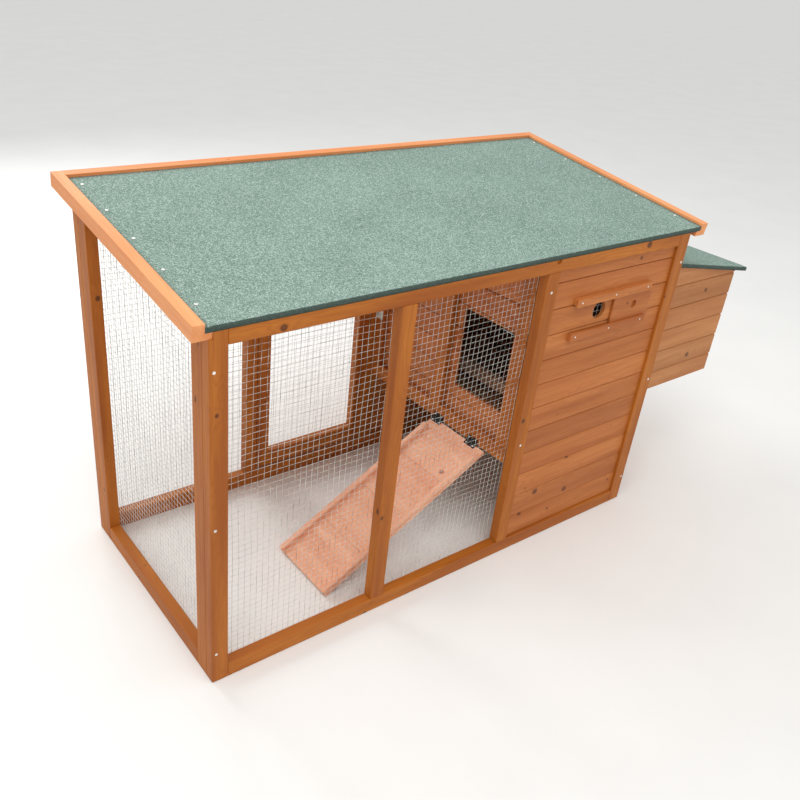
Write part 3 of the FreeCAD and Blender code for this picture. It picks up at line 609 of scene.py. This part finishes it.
for kind, body, joint in (("ramp", "ramp", "ramp_lift"), ("lid", "lid", "lid_lift"),
                          ("run_door", "run_door", "run_door_swing")):
    hingeScrews(kind + "_screws_fixed", "coop", kind + "_hinges_fixed", joint)
    hingeScrews(kind + "_screws_moving", body, kind + "_hinges_moving", joint)
print("heads made")


# felt, bent over the edges of the boards

feltSheet = {
    "cell": 0.02,
    "bend": 0.0035,
    "bendSteps": 3,
    "thick": 0.0016,
    "raggedness": 0.08,           # uneven lower edge of the folds
    "raggedTurns": 30,
    "waves": ((6, 0.6), (22, 0.3)),
    "sag": 0.9,
    "nearly": 1e-6,
}


# A sheet on top of a board; folds names the sides where it is bent down by deep.
def feltCap(name, body, node, place, size, folds, deep, slack):
    wide, long = size
    nearly = feltSheet["nearly"]
    (slow, slowShare), (quick, quickShare) = feltSheet["waves"]

    def build(bm):
        across, along = ceil(wide / feltSheet["cell"]), ceil(long / feltSheet["cell"])
        rows = [[bm.verts.new((wide * i / across, long * j / along, 0)) for i in range(across + 1)]
                for j in range(along + 1)]
        for low, high in zip(rows, rows[1:]):
            for i in range(across):
                bm.faces.new((low[i], low[i + 1], high[i + 1], high[i]))
        onSide = {"front": lambda v: v.co.y < nearly, "back": lambda v: v.co.y > long - nearly,
                  "right": lambda v: v.co.x > wide - nearly}
        edges = [edge for edge in bm.edges if edge.is_boundary
                 and any(all(onSide[side](v) for v in edge.verts) for side in folds)]
        made = bmesh.ops.extrude_edge_only(bm, edges=edges)["geom"]
        for vert in made:
            if isinstance(vert, bmesh.types.BMVert):
                ragged = feltSheet["raggedness"] * noise.noise(vert.co * feltSheet["raggedTurns"])
                vert.co.z -= deep * (1 + ragged)
        bmesh.ops.bevel(bm, geom=edges, offset=feltSheet["bend"], segments=feltSheet["bendSteps"],
                        profile=0.5, affect="EDGES", material=-1)
        for vert in bm.verts:
            wave = noise.noise(vert.co * slow) * slowShare + noise.noise(vert.co * quick) * quickShare
            vert.co.z += slack * (wave - feltSheet["sag"])
            vert.co = place @ vert.co

    piece = newPiece(name, body, build, roofFelt)
    thick = piece.modifiers.new("thickness", "SOLIDIFY")
    thick.thickness = feltSheet["thick"]
    thick.offset = -1
    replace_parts(piece, node)


# Roof coordinates: x along the front, y up the slope, z off the felt.
def roofPlace():
    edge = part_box("roof_side_battens")[0]
    feltDown = 0.006                     # the battens stand this much over the felt
    battenTall = 0.035
    corner = Vector((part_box("roof_felt")[0].x, edge.y, edge.z + battenTall * cos(roofPitch)))
    turn = Matrix.Rotation(roofPitch, 4, "X")
    return Matrix.Translation(corner) @ turn @ Matrix.Translation((0, 0, -feltDown))


# Lid coordinates: x down the slope, y along the hinge, z off the felt.
def lidPlace():
    corner = Vector(jointNamed("lid_lift")["pos_m"])
    corner.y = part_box("nest_lid_felt")[0].y
    turn = Matrix.Rotation(lidPitch, 4, "Y")
    fromPin, underPin = 0.004, 0.0032    # where the sheet starts, measured from the hinge pin
    return Matrix.Translation(corner) @ turn @ Matrix.Translation((fromPin, 0, -underPin))


roofTrim, lidTrim = 0.002, 0.0028        # how much shorter each sheet is than its box along the slope
low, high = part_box("roof_felt")
roofSize = (high.x - low.x, (high.y - low.y) / cos(roofPitch) - roofTrim)
feltCap("roof_felt_sheet", "coop", "roof_felt", roofPlace(), roofSize, folds=("front",),
        deep=0.0138, slack=0.0006)
low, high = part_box("nest_lid_felt")
lidSize = ((high.x - low.x) / cos(lidPitch) - lidTrim, high.y - low.y)
feltCap("lid_felt_sheet", "lid", "nest_lid_felt", lidPlace(), lidSize, folds=("front", "back", "right"),
        deep=0.0128, slack=0.0004)
print("felt laid")


# floor, light and camera

floorSize = 240
floorDrop = 0.0005       # keeps the floor clear of the timber that stands on it


def makeFloor():
    bpy.ops.mesh.primitive_plane_add(size=floorSize, location=(0, 0, -floorDrop))
    floor = bpy.context.object
    floor.name = "studio_floor"
    material, tree, shader = newMaterial("pale_floor")
    place = add(tree, "ShaderNodeTexCoord").outputs["Object"]
    cloud = add(tree, "ShaderNodeTexNoise", {"Vector": place, "Scale": 3, "Detail": 3}).outputs[0]
    tree.links.new(mixed(tree, cloud, tone(238, 238, 236), tone(230, 230, 228)), shader.inputs["Base Color"])
    shader.inputs["Roughness"].default_value = 0.8
    floor.data.materials.append(material)


def areaLight(name, place, target, size, power, colour):
    light = bpy.data.lights.new(name, "AREA")
    light.size = size
    light.energy = power
    light.color = colour
    lamp = bpy.data.objects.new(name, light)
    lamp.location = place
    lamp.rotation_euler = (Vector(target) - Vector(place)).to_track_quat("-Z", "Y").to_euler()
    scene.collection.objects.link(lamp)


skyLight = 0.8
skySeen = 0.84           # the backdrop looks like the far floor, so no horizon shows
lamps = {
    "key": {"place": (-1.6, -1.8, 4.4), "target": (0, 0, 0.4), "size": 3.2, "power": 100,
            "colour": (1.0, 0.985, 0.96)},
    "back": {"place": (-0.8, 3.4, 2.5), "target": (-0.4, 0.2, 0.3), "size": 2.2, "power": 75,
             "colour": (1.0, 1.0, 1.0)},
    "fill": {"place": (3.5, -3.5, 2.2), "target": (0.2, 0, 0.5), "size": 3.0, "power": 10,
             "colour": (0.96, 0.98, 1.0)},
}


def makeLight():
    world = bpy.data.worlds.new("studio")
    world.use_nodes = True
    tree = world.node_tree
    background = [node for node in tree.nodes if node.type == "BACKGROUND"][0]
    background.inputs["Color"].default_value = (1.0, 1.0, 1.0, 1)
    seen = add(tree, "ShaderNodeLightPath").outputs["Is Camera Ray"]
    strength = spread(tree, seen, 0, 1, skyLight, skyLight * skySeen)
    tree.links.new(strength, background.inputs["Strength"])
    scene.world = world
    for name, lamp in lamps.items():
        areaLight(name, **lamp)


cameraView = {
    "lens": 37.84,
    "shift": (0.0461, 0.0107),
    "place": (-1.6124, -1.6335, 1.576),
    "target": (-0.4231, -0.159, 0.5),
    "tilt": radians(5.3),         # held slightly off level
}


def makeCamera():
    camera = bpy.data.cameras.new("camera")
    camera.lens = cameraView["lens"]
    camera.sensor_width = 36
    camera.shift_x, camera.shift_y = cameraView["shift"]
    camera.clip_start = 0.05
    holder = bpy.data.objects.new("camera", camera)
    place = Vector(cameraView["place"])
    aim = Vector(cameraView["target"]) - place
    look = aim.to_track_quat("-Z", "Y").to_matrix()
    tilt = Matrix.Rotation(cameraView["tilt"], 3, "Z")
    holder.matrix_world = Matrix.Translation(place) @ (look @ tilt).to_4x4()
    scene.collection.objects.link(holder)
    scene.camera = holder


makeFloor()
makeLight()
makeCamera()
print("stage set")
